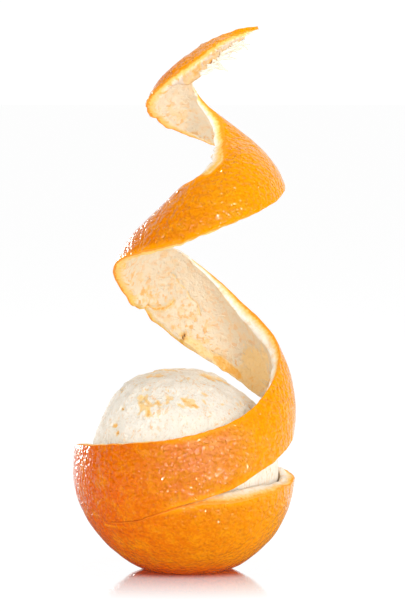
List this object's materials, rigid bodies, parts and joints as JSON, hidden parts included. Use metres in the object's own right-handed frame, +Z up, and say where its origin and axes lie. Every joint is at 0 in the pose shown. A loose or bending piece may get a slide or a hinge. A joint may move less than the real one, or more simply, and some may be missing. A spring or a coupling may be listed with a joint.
{
  "type": "half peeled orange with spiral peel",
  "caption": "Peeled orange sitting in the uncut lower half of its peel, with the cut peel rising from it in a free-standing spiral ribbon.",
  "frame": {"origin": "centre of the small flat foot under the peel, on the surface it stands on", "axes": "+Z up along the spiral, -Y towards the viewer who sees the slit climb from the left to the right, +X to that viewer's right, where the spiral's tip points"},
  "size_m": [0.08, 0.0801, 0.1948],
  "materials": {
    "rind": "dimpled, slightly waxy orange skin outside, cream pith inside",
    "pith": "matt cream pith with thin spots of orange flesh showing"
  },
  "bodies": {
    "root": {"peel": "rind", "fruit": "pith"}
  },
  "joints": []
}
